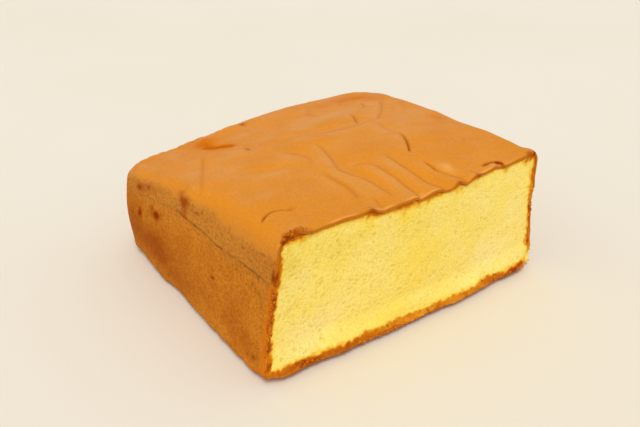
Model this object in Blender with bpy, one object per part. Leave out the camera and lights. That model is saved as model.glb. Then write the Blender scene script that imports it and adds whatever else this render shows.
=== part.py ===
"""Sponge cake, cut straight across: three browned pan sides, a wrinkled skin on top, one open cut.

Metres, +Z up. The cut faces -Y and the back of the tin +Y. The origin is at the centre of the
cake's box, on the surface that it stands on.
"""
import math

import bmesh
import bpy

# Driving dimensions of the cake
WIDTH = 0.200          # along the cut, at the foot
DEPTH = 0.184          # from the cut to the back, at the foot
HEIGHT = 0.080         # at the cut

# Rounded edges and corners
TOP_RIM = 0.0075       # the shoulder, where a wall turns into the top
FOOT_RIM = 0.0080      # where a wall turns under
CORNER = 0.029         # the two back corners, seen from above

# How far the walls lean in between the foot and the top
LEAN_LEFT_FRONT = 0.0130
LEAN_LEFT_BACK = 0.0010
LEAN_RIGHT_FRONT = 0.0098
LEAN_RIGHT_BACK = 0.0010
LEAN_BACK = 0.0120
SWELL_LEFT = 0.0058    # the left wall swells towards the back
HOLLOW_RIGHT = 0.0025  # the right wall sinks in above its foot

# How the top lies
CROWN = 0.0046         # the middle stands above the cut's edge
FLAT_RIGHT = 0.5       # the crown falls away only this much towards the right shoulder
FALL_BACK = 0.0092     # the whole top sinks towards the back
FALL_CORNER = 0.0146   # the back left corner sinks further
SAG = 0.0016           # the skin sags in the middle of the cut's edge
SAG_REACH = 0.52       # shares of half the width: where the sag starts, and its slope
SAG_SLOPE = 0.25
BOW = 0.0018           # the middle of the cut stands forward
BOW_REACH = 0.66
BOW_SLOPE = 0.42

# Net of the solid
RIM_STEPS = 3
STEPS_X = 40
STEPS_Y = 38
STEPS_Z = 8

# Folds of the skin on top, each one an arc seen from above, in millimetres from the cut's left
# foot corner: start x, start y, heading in degrees from +X, length, turn in degrees, rise, width
FOLDS = (
    (66, 0, 88, 84, -8, -1.5, 4.5),     # creases that run back from the cut
    (81, 2, 90, 86, -14, -1.5, 4.5),
    (94, 0, 80, 58, 70, -1.3, 4.5),
    (114, 0, 106, 60, -48, -1.6, 4.5),
    (72, 0, 86, 72, 4, 1.1, 5),         # ridges between them
    (87, 0, 88, 56, 10, 1.0, 5),
    (103, 0, 86, 60, 14, 1.2, 6),
    (120, 2, 98, 40, -36, 1.3, 5),
    (127, 40, 48, 62, 40, -2.0, 4.5),   # the long crease, and the lip behind it
    (134, 36, 52, 60, 40, 1.6, 6),
    (126, 18, 74, 18, 10, -1.2, 4),
    (131, 8, 80, 16, 0, 1.8, 7),
    (132, 98, 64, 24, 14, -1.2, 4),
    (3, 19, 56, 26, -100, -1.0, 4),     # the curved tear near the left shoulder
    (80, 104, 14, 50, -30, 1.3, 7),     # soft folds across the top
    (98, 112, 0, 34, 0, -1.0, 6),
    (18, 104, -62, 44, 40, 1.2, 8),
    (8, 84, 62, 50, 0, -0.9, 5),
    (147, 98, 52, 44, 6, -1.2, 5),
    (140, 100, 54, 46, 8, 1.2, 6),
    (96, 128, 6, 60, 10, 1.1, 9),
    (46, 160, -72, 32, 20, -1.3, 7),
)
MILLIMETRE = 0.001
FOLD_POINT_STEP = 0.004
FOLD_TAPER = 0.25      # share of a fold's length over which each end dies away


def clear_scene():
    for thing in list(bpy.data.objects):
        bpy.data.objects.remove(thing, do_unlink=True)


def ease(share):
    share = min(max(share, 0.0), 1.0)
    return share * share * (3.0 - 2.0 * share)


def stations(low, high, steps, low_rim=0.0, high_rim=0.0):
    """Cutting places from low to high, closer together over a rim at either end."""
    places = [low + low_rim * i / RIM_STEPS for i in range(RIM_STEPS)] if low_rim else []
    span_low = low + low_rim
    span = high - high_rim - span_low
    places += [span_low + span * i / steps for i in range(steps + 1)]
    if high_rim:
        places += [high - high_rim + high_rim * i / RIM_STEPS for i in range(1, RIM_STEPS + 1)]
    return [place for place in places if low < place < high]


def cut_block():
    """The block that just holds the cake, cut into a net of small faces."""
    mesh = bmesh.new()
    bmesh.ops.create_cube(mesh, size=1.0)
    bmesh.ops.scale(mesh, verts=mesh.verts, vec=(WIDTH, DEPTH, HEIGHT))
    bmesh.ops.translate(mesh, verts=mesh.verts, vec=(0.0, 0.0, HEIGHT / 2))
    half_x, half_y = WIDTH / 2, DEPTH / 2
    cuts = [(0, stations(-half_x, half_x, STEPS_X, TOP_RIM, TOP_RIM)),
            (1, stations(-half_y, half_y, STEPS_Y, 0.0, TOP_RIM)),
            (2, stations(0.0, HEIGHT, STEPS_Z, FOOT_RIM, TOP_RIM))]
    for axis, places in cuts:
        for place in places:
            point = [0.0, 0.0, 0.0]
            normal = [0.0, 0.0, 0.0]
            point[axis] = place
            normal[axis] = 1.0
            geometry = mesh.verts[:] + mesh.edges[:] + mesh.faces[:]
            bmesh.ops.bisect_plane(mesh, geom=geometry, dist=1e-6, plane_co=point, plane_no=normal)
    return mesh


def past(value, start):
    return max(value - start, 0.0)


def round_pair(a, b):
    """Draw a square corner, a and b past its start, onto a quarter circle."""
    if a <= 0.0 or b <= 0.0:
        return a, b
    shrink = max(a, b) / math.hypot(a, b)
    return a * shrink, b * shrink


def round_rims(x, y, z):
    """Round the shoulder and the foot on the left, right and back; the cut keeps its edges."""
    top = z > HEIGHT / 2
    rim = TOP_RIM if top else FOOT_RIM
    side_start, back_start = WIDTH / 2 - rim, DEPTH / 2 - rim
    out_x, out_y = past(abs(x), side_start), past(y, back_start)
    out_z = past(z, HEIGHT - rim) if top else past(rim - z, 0.0)
    out = max(out_x, out_y)
    if out > 0.0 and out_z > 0.0:
        shrink = max(out, out_z) / math.hypot(out, out_z)
        out_x, out_y, out_z = out_x * shrink, out_y * shrink, out_z * shrink
        x = math.copysign(side_start + out_x, x) if out_x else x
        y = back_start + out_y if out_y else y
        z = HEIGHT - rim + out_z if top else rim - out_z
    return x, y, z


def round_back_corners(x, y):
    side_start, back_start = WIDTH / 2 - CORNER, DEPTH / 2 - CORNER
    out_x, out_y = past(abs(x), side_start), past(y, back_start)
    if out_x > 0.0 and out_y > 0.0:
        out_x, out_y = round_pair(out_x, out_y)
        x = math.copysign(side_start + out_x, x)
        y = back_start + out_y
    return x, y


def top_height(across, back):
    """Height of the top; across runs from -1 at the left to 1, back from 0 at the cut to 1."""
    left = ease((0.35 - across) / 1.35)
    arch = 1.0 - across ** 2 * (1.0 if across < 0.0 else FLAT_RIGHT)
    crown = CROWN * arch * math.sin(math.pi * back)
    sag = SAG * ease((SAG_REACH - abs(across)) / SAG_SLOPE) * (1.0 - ease(4.0 * back))
    return HEIGHT + crown - sag - FALL_BACK * back ** 1.6 - FALL_CORNER * left * back ** 1.8


def fold_points(fold):
    """Points along a fold, seen from above, in the block's metres."""
    start_x, start_y, heading, length, turn = fold[:5]
    x = start_x * MILLIMETRE - WIDTH / 2
    y = start_y * MILLIMETRE - DEPTH / 2
    steps = max(2, round(length * MILLIMETRE / FOLD_POINT_STEP))
    step = length * MILLIMETRE / steps
    points = [(x, y)]
    for i in range(steps):
        angle = math.radians(heading + turn * (i + 0.5) / steps)
        x += step * math.cos(angle)
        y += step * math.sin(angle)
        points.append((x, y))
    return points


def fold_rise(x, y, fold, points):
    rise, width = fold[5] * MILLIMETRE, fold[6] * MILLIMETRE
    nearest, place = min((math.hypot(x - px, y - py), i) for i, (px, py) in enumerate(points))
    if nearest > 2.5 * width:
        return 0.0
    along = place / (len(points) - 1)
    taper = ease(along / FOLD_TAPER) * ease((1.0 - along) / FOLD_TAPER)
    return rise * max(taper, 0.25) * math.exp(-(nearest / width) ** 2)


def settle(x, y, z):
    """Give a point of the rounded block its place on the cake: height, lean, swell and bow."""
    across, back = x / (WIDTH / 2), max((y + DEPTH / 2) / DEPTH, 0.0)
    z *= top_height(across, back) / HEIGHT
    up = min(max(z / HEIGHT, 0.0), 1.0)
    share = ease(back)
    if x < 0.0:
        lean = LEAN_LEFT_FRONT + (LEAN_LEFT_BACK - LEAN_LEFT_FRONT) * share
        swell = SWELL_LEFT * math.sin(math.pi * min(up / 0.9, 1.0)) * ease(1.1 * back)
    else:
        lean = LEAN_RIGHT_FRONT + (LEAN_RIGHT_BACK - LEAN_RIGHT_FRONT) * share
        swell = -HOLLOW_RIGHT * math.sin(math.pi * up) * (1.0 - share)
    moved_x = x - lean * up * across + swell * across
    bow = BOW * ease((BOW_REACH - abs(across)) / BOW_SLOPE) * (1.0 - ease(2.0 * back))
    moved_y = y - LEAN_BACK * up * back - bow
    return moved_x, moved_y, z


def shape_cake(mesh):
    folds = [(fold, fold_points(fold)) for fold in FOLDS]
    for vert in mesh.verts:
        on_top = vert.co.z > HEIGHT - 1e-5
        x, y, z = round_rims(*vert.co)
        x, y = round_back_corners(x, y)
        rise = 0.0
        if on_top:
            rise = sum(fold_rise(x, y, fold, points) for fold, points in folds)
        x, y, z = settle(x, y, z)
        vert.co = (x, y, z + rise)


def join_flat_underside(mesh):
    """The faces that stand on the surface become one flat face."""
    flat = [face for face in mesh.faces if max(abs(vert.co.z) for vert in face.verts) < 1e-6]
    bmesh.ops.dissolve_faces(mesh, faces=flat, use_verts=True)


def centre_on_origin(mesh):
    xs = [vert.co.x for vert in mesh.verts]
    ys = [vert.co.y for vert in mesh.verts]
    middle = (-(min(xs) + max(xs)) / 2, -(min(ys) + max(ys)) / 2, 0.0)
    bmesh.ops.translate(mesh, verts=mesh.verts, vec=middle)


def baked_crust_material():
    material = bpy.data.materials.new("baked_crust")
    material.use_nodes = True
    shader = material.node_tree.nodes["Principled BSDF"]
    shader.inputs["Base Color"].default_value = (0.62, 0.26, 0.045, 1.0)
    shader.inputs["Roughness"].default_value = 0.6
    shader.inputs["Metallic"].default_value = 0.0
    return material


def build_cake():
    mesh = cut_block()
    shape_cake(mesh)
    join_flat_underside(mesh)
    centre_on_origin(mesh)
    data = bpy.data.meshes.new("sponge_cake")
    mesh.to_mesh(data)
    mesh.free()
    data.materials.append(baked_crust_material())
    data.shade_smooth()
    data.set_sharp_from_angle(angle=math.radians(40.0))
    cake = bpy.data.objects.new("sponge_cake", data)
    collection = bpy.data.collections.new("sponge_cake_parts")
    bpy.context.scene.collection.children.link(collection)
    collection.objects.link(cake)


clear_scene()
build_cake()
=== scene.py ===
# %% [markdown]
# # A sponge cake, cut straight across
# This lesson dresses a square sponge cake. It was baked in a tin, turned out, and cut once, so it
# has three browned walls, a browned bottom, a thin wrinkled skin on top and one open yellow cut.
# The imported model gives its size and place. Four pieces stand in for its one plain solid: the
# crumb with the open cut, the crust round the walls, the skin that lies over both, and the small
# crumbs that the knife tore out along the border of the cut.

# %% Load the frame
import collections
import itertools
import math

import bmesh
import bpy
import numpy as np
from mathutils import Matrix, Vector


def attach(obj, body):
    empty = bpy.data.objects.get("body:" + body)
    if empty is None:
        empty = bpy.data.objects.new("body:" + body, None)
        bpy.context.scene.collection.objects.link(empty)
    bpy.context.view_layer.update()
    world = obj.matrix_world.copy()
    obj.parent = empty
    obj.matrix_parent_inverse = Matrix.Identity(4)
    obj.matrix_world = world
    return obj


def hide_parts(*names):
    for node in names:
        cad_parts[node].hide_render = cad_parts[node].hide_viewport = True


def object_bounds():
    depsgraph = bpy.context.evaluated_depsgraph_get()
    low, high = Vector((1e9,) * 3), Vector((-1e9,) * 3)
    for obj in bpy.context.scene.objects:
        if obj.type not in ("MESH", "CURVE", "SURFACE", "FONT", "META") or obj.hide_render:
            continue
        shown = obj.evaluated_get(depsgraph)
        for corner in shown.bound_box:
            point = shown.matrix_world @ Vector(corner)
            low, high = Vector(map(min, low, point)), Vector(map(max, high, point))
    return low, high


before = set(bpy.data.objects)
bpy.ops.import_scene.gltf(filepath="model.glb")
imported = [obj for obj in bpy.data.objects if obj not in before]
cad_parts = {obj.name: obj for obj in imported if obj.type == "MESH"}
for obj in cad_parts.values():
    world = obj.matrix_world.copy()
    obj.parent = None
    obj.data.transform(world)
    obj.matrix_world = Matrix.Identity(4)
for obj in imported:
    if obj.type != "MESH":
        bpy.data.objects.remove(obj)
cad_low, cad_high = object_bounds()
print("the cake's box:", [round(high - low, 4) for low, high in zip(cad_low, cad_high)])

# %% [markdown]
# ## The cake's own millimetres
# A cake is easier to think of in millimetres, and as the block of batter that filled the tin.
# So every measure below is in millimetres of that block, and one function at the end lays the
# finished shape on the frame's box. The block runs from -100 to 100 along the cut, from -92 at
# the cut to 92 at the back, and from 0 to 80 in height.

# %% The block and the scale
WIDTH, DEPTH, HEIGHT = 200.0, 184.0, 80.0
HALF_X, HALF_Y = WIDTH / 2, DEPTH / 2
BOX_ALONG_CUT = 204.6    # with the bulge of the left wall
MM = (cad_high.x - cad_low.x) / BOX_ALONG_CUT
print("one millimetre of the cake is", round(MM, 6), "m")

# %% [markdown]
# ## The shape as a function
# A baked block isn't a box: its walls lean in, its shoulders and back corners are round, and its
# top sinks towards the back left. Beveling and bending by hand would have to be repeated on every
# piece. One function that moves any point of the block to its place on the cake does it once, for
# the outside and for what lies under it, so that the pieces nest.

# %% Soft steps
def ease(share):
    share = np.clip(share, 0.0, 1.0)
    return share * share * (3.0 - 2.0 * share)


def step(value, start, end):
    """0 as far as start and 1 from end on, smooth between them; the end may be the lower one."""
    return ease((value - start) / (end - start))


def past(value, start):
    return np.maximum(value - start, 0.0)


def soft_past(value, softness):
    return 0.5 * (value + np.sqrt(value ** 2 + softness ** 2))


# %% Round the edges
TOP_RIM, FOOT_RIM, CORNER = 7.5, 3.5, 29.0    # radii of the edges, and of the two back corners
FOOT_RIM_MORE = 5.0                           # what the foot's edge gains at the back, on the left


def pull_round(a, b):
    """How much to shrink a and b, both past a corner's start, to lie on a quarter circle."""
    both = (a > 0) & (b > 0)
    return np.where(both, np.maximum(a, b) / np.maximum(np.hypot(a, b), 1e-9), 1.0)


def round_rims(x, y, z):
    top = z > HEIGHT / 2
    rim = np.where(top, TOP_RIM, FOOT_RIM + FOOT_RIM_MORE * step(y, 20.0, 70.0) * (x < 0.0))
    out_x, out_y = past(np.abs(x), HALF_X - rim), past(y, HALF_Y - rim)
    out_z = np.where(top, past(z, HEIGHT - rim), past(rim - z, 0.0))
    shrink = pull_round(np.maximum(out_x, out_y), out_z)
    x = np.where(out_x > 0, np.sign(x) * (HALF_X - rim + out_x * shrink), x)
    y = np.where(out_y > 0, HALF_Y - rim + out_y * shrink, y)
    risen = np.where(top, HEIGHT - rim + out_z * shrink, rim - out_z * shrink)
    return x, y, np.where(out_z > 0, risen, z)


def round_back_corners(x, y):
    out_x, out_y = past(np.abs(x), HALF_X - CORNER), past(y, HALF_Y - CORNER)
    shrink = pull_round(out_x, out_y)
    x = np.where(out_x > 0, np.sign(x) * (HALF_X - CORNER + out_x * shrink), x)
    return x, np.where(out_y > 0, HALF_Y - CORNER + out_y * shrink, y)


# %% Lift and wear the foot
FOOT_GAP, GAP_HEIGHT = 2.1, 5.2                      # under the lowest edge, and how far up it acts
WORN_HEIGHT, WORN_DEPTH, WORN_WIDTH = 9.0, 10.0, 15.0
WORN_INWARDS, WORN_UP_LEFT, WORN_UP_RIGHT = 2.2, 1.4, 0.4


def lift_foot(x, y, z):
    """The lowest edge stands off the table by a gap, which is where its darkest shadow lies."""
    inwards = np.min([HALF_X - np.abs(x), y + HALF_Y, HALF_Y - y], axis=0)
    return FOOT_GAP * step(z, GAP_HEIGHT, 0.0) * step(inwards, 20.0, 4.0)


def wear_corners(x, y, z):
    """The two corners at the foot of the cut are rubbed round, the left one further up."""
    worn = (step(z, WORN_HEIGHT, 0.0) * step(y + HALF_Y, WORN_DEPTH, 0.0)
            * step(np.abs(x), HALF_X - WORN_WIDTH, HALF_X))
    up = np.where(x > 0.0, WORN_UP_RIGHT, WORN_UP_LEFT)
    return x - np.where(x > 0.0, WORN_INWARDS, -WORN_INWARDS) * worn, z + up * worn


# %% Arch, sink and lean
CROWN, SAG_AT_CUT, FALL_BACK, FALL_LEFT = 4.6, 1.6, 9.2, 14.6
LEAN_LEFT, LEAN_RIGHT, LEAN_AT_BACK = 13.0, 9.8, 1.0    # of the side walls, at the cut and behind
BACK_WALL_LEAN, CUT_BOW = 12.0, 1.8
LEFT_SWELL, RIGHT_HOLLOW = 5.8, 2.5


def top_height(across, back):
    """Height of the top; across runs from -1 at the left to 1, back from 0 at the cut to 1."""
    arch = 1.0 - across ** 2 * np.where(across < 0.0, 1.0, 0.5)
    crown = CROWN * arch * np.sin(np.pi * back)
    sag = SAG_AT_CUT * step(np.abs(across), 0.52, 0.27) * step(back, 0.25, 0.0)
    left = step(across, 0.35, -1.0)
    return HEIGHT + crown - sag - FALL_BACK * back ** 1.6 - FALL_LEFT * left * back ** 1.8


def cake_form(block):
    """Points of the block, one row each, moved to the rounded, leaning, sunken cake."""
    x, y, z = round_rims(*block.T)
    worn_x, worn_z = wear_corners(x, y, z)
    x, z = worn_x, worn_z + lift_foot(x, y, z)
    x, y = round_back_corners(x, y)
    across, back = x / HALF_X, np.clip((y + HALF_Y) / DEPTH, 0.0, 1.0)
    z = z * top_height(across, back) / HEIGHT
    up, share = np.clip(z / HEIGHT, 0.0, 1.0), ease(back)
    lean = np.where(x < 0.0, LEAN_LEFT, LEAN_RIGHT)
    lean += (LEAN_AT_BACK - lean) * share
    swell = np.where(
        x < 0.0, LEFT_SWELL * np.sin(np.pi * np.minimum(up / 0.9, 1.0)) * ease(1.1 * back),
        -RIGHT_HOLLOW * np.sin(np.pi * up) * (1.0 - share))
    bow = CUT_BOW * step(np.abs(across), 0.66, 0.24) * step(back, 0.5, 0.0)
    return np.stack([x + (swell - lean * up) * across, y - BACK_WALL_LEAN * up * back - bow, z], -1)


# %% Lay the shape on the frame's box
edge = np.linspace(-1.0, 1.0, 201)
rise, run = np.meshgrid(np.linspace(0.0, HEIGHT, 81), edge)
walls = [np.stack([np.full(run.size, side * HALF_X), run.ravel() * HALF_Y, rise.ravel()], -1)
         for side in (-1, 1)]
walls += [np.stack([run.ravel() * HALF_X, np.full(run.size, side * HALF_Y), rise.ravel()], -1)
          for side in (-1, 1)]
form = cake_form(np.concatenate(walls))
form_middle = (form.min(0) + form.max(0)) / 2
frame_middle = (np.array(cad_low) + np.array(cad_high)) / 2


def lay_on_frame(points):
    """Millimetres of the cake to metres of the frame: box over box, standing on its foot."""
    placed = (points - form_middle) * MM + frame_middle
    placed[:, 2] = points[:, 2] * MM + cad_low.z
    return placed


print("the form's box in mm:", np.round(form.max(0) - form.min(0), 1))

# %% [markdown]
# ## Unevenness without a texture
# Baked things are never even. A table of random numbers, read smoothly between its entries, gives
# soft bumps of any size, and the same ones each time the lesson runs. Adding two or three sizes
# makes the waviness of a wall or the roughness of a cut.

# %% Soft random bumps
NOISE = np.random.default_rng(7).uniform(-1.0, 1.0, (48, 48, 48))
NOISE_START = 100.0


def bumps(points, size, shift=0.0):
    """A smooth value from -1 to 1 at each point; size is how far apart the bumps are, in mm.

    The shift says where in the table they are read, so each use has bumps of its own.
    """
    grid = np.asarray(points) / size + NOISE_START + shift
    cell = np.floor(grid).astype(int)
    part = ease(grid - cell)
    total = np.zeros(grid.shape[:-1])
    for corner in itertools.product((0, 1), repeat=3):
        weight = np.prod(np.where(corner, part, 1.0 - part), axis=-1)
        place = (cell + corner) % len(NOISE)
        total += weight * NOISE[place[..., 0], place[..., 1], place[..., 2]]
    return total


def flat_bumps(x, y, size, shift=0.0):
    return bumps(np.stack([x, y, np.zeros_like(x)], -1), size, shift)


# %% [markdown]
# ## Folds of the skin
# The skin sets before the crumb under it has finished sinking, so it ends up too large and lies in
# folds. Each fold is an arc seen from above: where it starts, its heading, its length and how far
# it turns. Along the arc the skin drops into a narrow crease. On one side it rises steeply to a
# crest and falls away slowly, as draped cloth does, and on the other side it lies a little low. A
# list of a few dozen such arcs is easy to read and to change, which a sculpted surface isn't.

# %% Distance to a path of arcs
PATH_STEP = 2.0


def path_points(start_x, start_y, heading, stretches):
    """Points along arcs that follow each other; a stretch is a length and how far it turns left."""
    xs, ys = [start_x], [start_y]
    for length, turn in stretches:
        count = max(1, round(length / PATH_STEP))
        for i in range(count):
            angle = math.radians(heading + turn * (i + 0.5) / count)
            xs.append(xs[-1] + math.cos(angle) * length / count)
            ys.append(ys[-1] + math.sin(angle) * length / count)
        heading += turn
    return np.array(xs), np.array(ys)


def beside_path(x, y, xs, ys):
    """Distance to the path, positive on its right hand, and the share of its length passed."""
    nearest = np.full(x.shape, 1e9)
    side, along = np.zeros(x.shape), np.zeros(x.shape)
    for i in range(len(xs) - 1):
        dx, dy = xs[i + 1] - xs[i], ys[i + 1] - ys[i]
        share = np.clip(((x - xs[i]) * dx + (y - ys[i]) * dy) / (dx * dx + dy * dy), 0.0, 1.0)
        off_x, off_y = x - xs[i] - share * dx, y - ys[i] - share * dy
        distance = np.hypot(off_x, off_y)
        closer = distance < nearest
        nearest = np.where(closer, distance, nearest)
        side = np.where(closer, np.where(dy * off_x - dx * off_y < 0, -1.0, 1.0), side)
        along = np.where(closer, (i + share) / (len(xs) - 1), along)
    return nearest * side, along


# %% The folds
# a fold starts at x from the left and y from the cut, and its stretches are (length, turn); depth
# and width are the crease's, and roll is the crest's height, negative on the left, at its reach
Fold = collections.namedtuple("Fold", "x y heading stretches depth width roll reach")
FOLDS = [Fold(*row) for row in (
    # creases that run back from the cut
    (70, -1, 92, ((14, -14),), 0.34, 1.2, -0.40, 3.2),
    (60, 11, 48, ((13, 34), (14, 16), (16, -22)), 0.50, 1.4, 0.70, 4.2),
    (68, 62, 52, ((9, 30), (10, 34), (16, -8)), 0.30, 1.8, -0.60, 4.5),
    (82.5, 4, 88, ((16, 4), (16, 24), (10, -26), (12, -28), (20, 14), (14, 14)), 0.46, 1.4, -0.80, 4.4),
    (98, -1, 102, ((12, -18), (27, 10), (11, 66), (9, 34)), 0.52, 1.4, -0.90, 4.2),
    (117, -1, 130, ((16, -40), (14, 0), (14, -4), (12, -14)), 0.52, 1.4, -0.80, 4.2),
    (134.5, -1, 100, ((8, 25), (8, -15), (7, -25), (10, -12)), 0.60, 1.2, -0.45, 3.4),
    (126.8, 17, 92, ((6, -10), (9, -6)), 1.50, 0.9, -0.60, 3.6),
    (144, -1, 96, ((8, 10),), 0.50, 0.9, -0.50, 2.8),
    # the long crease, and the soft edge that it follows to the back
    (126.2, 41, 48, ((16, 9), (20, 26)), 1.60, 0.8, -0.78, 5.0),
    (139.5, 67, 84, ((12, 8), (12, -30), (10, -10)), 0.26, 2.2, -0.90, 5.0),
    (99, 101, -22, ((20, 22), (26, 4)), 0.40, 2.6, 0.95, 5.0),
    (76, 104, 30, ((14, -40), (14, -14)), 0.20, 2.4, 0.80, 4.5),
    # creases towards the right back
    (130.8, 99, 60, ((17, 6), (12, 6)), 0.90, 1.4, -0.55, 3.5),
    (146.0, 98, 42, ((16, 4), (24, 8), (20, 8)), 0.45, 1.6, -0.70, 4.5),
    (158, 128, 58, ((10, 4), (10, 0)), 0.60, 1.4, 0.40, 3.0),
    (176, 103, 60, ((20, -4), (18, 4)), 0.20, 2.0, -0.50, 4.0),
    (183, 138, 60, ((28, 6),), 0.20, 2.2, -0.50, 4.0),
    (150, 148, 56, ((24, 6),), 0.20, 2.4, -0.50, 4.5),
    (118, 142, 50, ((26, 10),), 0.20, 2.4, -0.50, 4.5),
    (166, 32, 46, ((12, 4),), 0.30, 0.8, 0.13, 2.5),
    (150, 62, 70, ((26, -30),), 0.06, 2.5, -0.35, 5.0),
    # folds that lie across the left half
    (88, 120, 12, ((52, 20),), 0.05, 2.8, 0.70, 5.0),
    (62, 158, 20, ((40, -20),), 0.12, 2.5, 0.60, 5.0),
    (22, 98, -70, ((20, 20), (16, 22), (18, -8)), 0.0, 2.8, 0.85, 4.5),
    (50, 98, -60, ((20, 10), (12, 30)), 0.0, 2.6, 0.55, 4.5),
    (48, 130, -74, ((28, 50),), 0.12, 2.4, 0.50, 4.0),
    (44, 152, -60, ((22, 10),), 0.30, 1.5, 0.35, 4.0),
    (55, 111, 72, ((12, 0),), 0.75, 1.8, -0.33, 3.0),
    (3, 78, 62, ((24, -4), (24, 2), (20, 4)), 0.40, 1.4, -0.60, 4.0),
    (36, 157, -132, ((22, 10),), 0.15, 2.2, 0.40, 4.5),
    (14, 46, 14, ((18, -20),), 0.05, 2.0, 0.33, 3.5),
    # the curved tear at the left, and the slit behind the lifted flap
    (3, 20.6, 54, ((11, -38), (5, -30), (5, -34), (4, 50), (5, 10)), 2.10, 0.60, 0.35, 2.5),
    (155.5, 5.0, 22, ((6, -34), (6, -44)), 1.75, 0.95, 0.80, 3.0),
)]
print(len(FOLDS), "folds, the deepest crease", max(fold.depth for fold in FOLDS), "mm")

# %% How a fold rises and sinks beside its crease
RUN_IN = 8.0    # a fold opens over this length, and closes over half as much again


def beside_fold(x, y, fold):
    """Shares from 0 to 1 of a fold's crease, crest and low side at points seen from above."""
    crease, crest, low = (np.zeros(x.shape) for _ in range(3))
    xs, ys = path_points(fold.x, fold.y, fold.heading, fold.stretches)
    margin = 6.0 * fold.reach
    near = ((x > xs.min() - margin) & (x < xs.max() + margin)
            & (y > ys.min() - margin) & (y < ys.max() + margin))
    distance, along = beside_path(x[near], y[near], xs, ys)
    run_in = min(0.25, RUN_IN / (PATH_STEP * len(xs)))
    opening = 1.0 if fold.y < 0 else step(along, 0.0, run_in)
    fade = opening * step(along, 1.0, 1.0 - 1.5 * run_in)
    crest_side, softness = distance * np.sign(fold.roll) / fold.reach, fold.width / fold.reach
    up, down = soft_past(crest_side, softness), soft_past(-crest_side, softness)
    crease[near] = fade * np.exp(-(distance / fold.width) ** 2)
    crest[near] = fade * up * np.exp(1.0 - up)
    low[near] = fade * down * np.exp(1.0 - down)
    return crease, crest, low


# %% Lumps and dips of the top
# from the left, from the cut, reach along each, rise
LUMPS = (
    (133, 15.5, 4.8, 6.2, 2.2),   # the blister, with a painted highlight, beside the short crease with its painted shade
    (10, 1.5, 7.5, 3.5, 1.7),     # the torn lump at the left end of the cut
    # the edge at the cut rises and dips where the folds run out
    (25, 0, 9.0, 3.0, -0.6), (60.5, 0, 3.4, 3.2, 2.0), (69, 0, 3.0, 3.0, -0.6),
    (99, 0, 4.6, 4.0, -1.5), (108, 0, 4.0, 3.0, 0.4), (120, 0, 4.2, 3.5, -0.9),
    (127.3, 0, 3.0, 3.0, 1.5), (135.5, 0, 3.4, 3.5, -1.1), (143.8, 0, 3.2, 3.0, 0.9),
    (153, 0, 5.0, 3.0, -0.7), (166, 0, 5.0, 3.0, -0.7), (176, 0, 6.0, 3.0, -0.4),
    (40, 0, 5.0, 3.0, 0.3), (83, 0, 6.0, 3.0, 0.25), (185, 0, 5.0, 3.0, 0.3),
    (195, 2, 7.0, 5.0, 1.2),
    # the edges of the top aren't straight
    (199, 16, 10.0, 30.0, 1.9), (75, 172, 32.0, 9.0, 1.3), (58, 166, 8.0, 8.0, 0.9),
    (38, 168, 9.0, 10.0, -1.5), (22, 166, 8.0, 8.0, 0.8), (168, 156, 16.0, 14.0, -0.7),
    (90, 90, 30.0, 10.0, 0.8), (30, 40, 22.0, 16.0, 0.6), (160, 60, 22.0, 26.0, 0.7),
    (88, 34, 4.0, 14.0, -0.6), (112, 108, 15.0, 6.0, -0.8), (50, 150, 6.0, 12.0, -0.9),
    (75, 145, 9.0, 7.0, 0.9), (30, 128, 10.0, 9.0, 0.7),
)
TORN_END = ((11, 1, 9.0, 4.0, 1.0),)


def spots_at(a, b, spots):
    """The sum of round spots; each has a place along a and b, a reach along each, and a height."""
    total = np.zeros(a.shape)
    for place_a, place_b, reach_a, reach_b, height in spots:
        total += height * np.exp(-((a - place_a) / reach_a) ** 2 - ((b - place_b) / reach_b) ** 2)
    return total


# %% Everything that rises or sinks on the top
def relief(x, y):
    """Height of folds, lumps and waviness above the plain form; x and y run from its middle."""
    from_left, from_cut = x + HALF_X, y + HALF_Y
    rise = spots_at(from_left, from_cut, LUMPS)
    for fold in FOLDS:
        crease, crest, low = beside_fold(from_left, from_cut, fold)
        rise += abs(fold.roll) * (crest - 0.3 * low) - fold.depth * crease
    torn = spots_at(from_left, from_cut, TORN_END)
    rise += torn * (0.9 * flat_bumps(x, y, 2.4, 61.0) + 0.5 * flat_bumps(x, y, 1.5, 63.0))
    unevenness = 0.55 * flat_bumps(x, y, 27.0) + 0.34 * flat_bumps(x, y, 12.0, 3.0)
    unevenness += 0.12 * flat_bumps(x, y * 0.6, 4.0, 5.0)
    far_rim = step(from_cut, 158.0, 172.0) * step(from_left, 96.0, 66.0)
    unevenness += far_rim * (0.6 * flat_bumps(x, y, 3.2, 65.0) + 0.6 * flat_bumps(x, y, 7.5, 67.0))
    return rise + unevenness * (0.15 + 0.85 * step(from_cut, 0.0, 12.0))


def raise_top(shaped, block):
    """Lift the upper part of a piece by what lies on the top."""
    near_top = step(block[:, 2], HEIGHT - 14.0, HEIGHT - 4.0)
    shaped[:, 2] += near_top * relief(block[:, 0], block[:, 1])


print("highest fold:", round(float(relief(*np.meshgrid(edge * 95, edge * 88)).max()), 2), "mm")


# %% [markdown]
# ## Small tools for the pieces
# Each large piece starts as a grid or as a cube that is cut into a fine net, by subdividing its
# edges along one axis at a time, and then has its points moved. Numpy reads and writes all the
# points at once, which is much quicker than a loop over them.

# %% Read and write points, paint a value
def start_clean():
    if bpy.context.object and bpy.context.object.mode != "OBJECT":
        bpy.ops.object.mode_set(mode="OBJECT")
    bpy.ops.object.select_all(action="DESELECT")


def pick(piece):
    start_clean()
    piece.select_set(True)
    bpy.context.view_layer.objects.active = piece


def points_of(piece):
    places = np.zeros(len(piece.data.vertices) * 3, np.float32)
    piece.data.vertices.foreach_get("co", places)
    return places.reshape(-1, 3).astype(float)


def move_points(piece, places):
    piece.data.vertices.foreach_set("co", np.asarray(places, np.float32).ravel())
    piece.data.update()


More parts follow.
